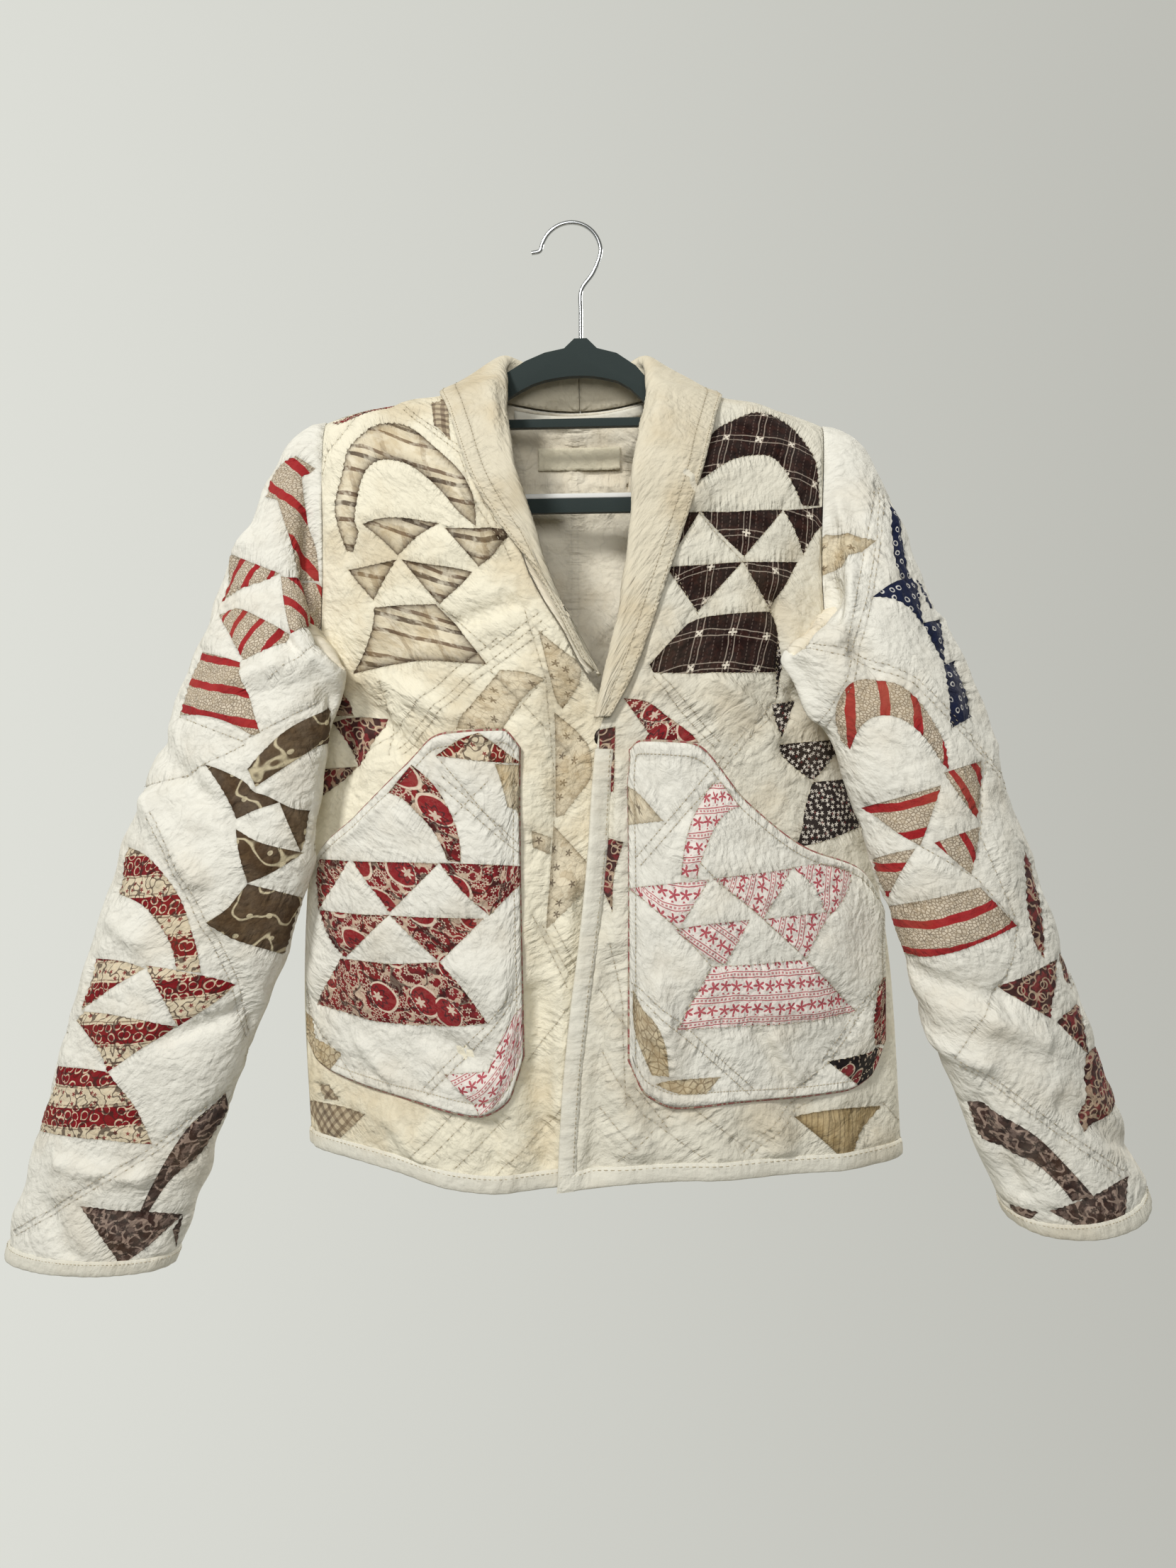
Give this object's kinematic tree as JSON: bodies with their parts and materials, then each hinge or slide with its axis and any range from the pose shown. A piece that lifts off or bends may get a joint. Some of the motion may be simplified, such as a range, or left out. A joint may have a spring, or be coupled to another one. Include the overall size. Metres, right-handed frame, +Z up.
{
  "type": "quilted patchwork jacket on hanger",
  "caption": "Short quilted patchwork jacket with shawl collar, patch pockets and open front, hanging on a slim velvet hanger with a steel hook.",
  "frame": {"origin": "inside of the hook's crown, where a peg carries the hanger", "axes": "+Z up, -Y out of the coat's front, +X to the wearer's left; sleeves spread along X"},
  "size_m": [0.9024, 0.1351, 0.8268],
  "materials": {
    "muslin": "matte quilted cotton",
    "old_muslin": "matte quilted cotton, aged",
    "tape": "matte cotton tape",
    "label_cotton": "plain woven cotton",
    "snap_metal": "dark oxidised",
    "velvet": "flocked",
    "grip": "smooth",
    "steel": "polished"
  },
  "bodies": {
    "root": {"back": "muslin", "front_left": "muslin", "front_right": "old_muslin", "hem_tape": "tape", "front_edge_tape": "tape", "sleeve_right": "muslin", "cuff_tape_right": "tape", "sleeve_left": "muslin", "cuff_tape_left": "tape", "pocket_right": "muslin", "pocket_left": "muslin", "collar_right": "old_muslin", "collar_left": "old_muslin", "neck_tape": "tape", "label": "label_cotton", "snap": "snap_metal", "hanger": "velvet", "grip_strip": "grip", "hook": "steel"}
  },
  "joints": []
}
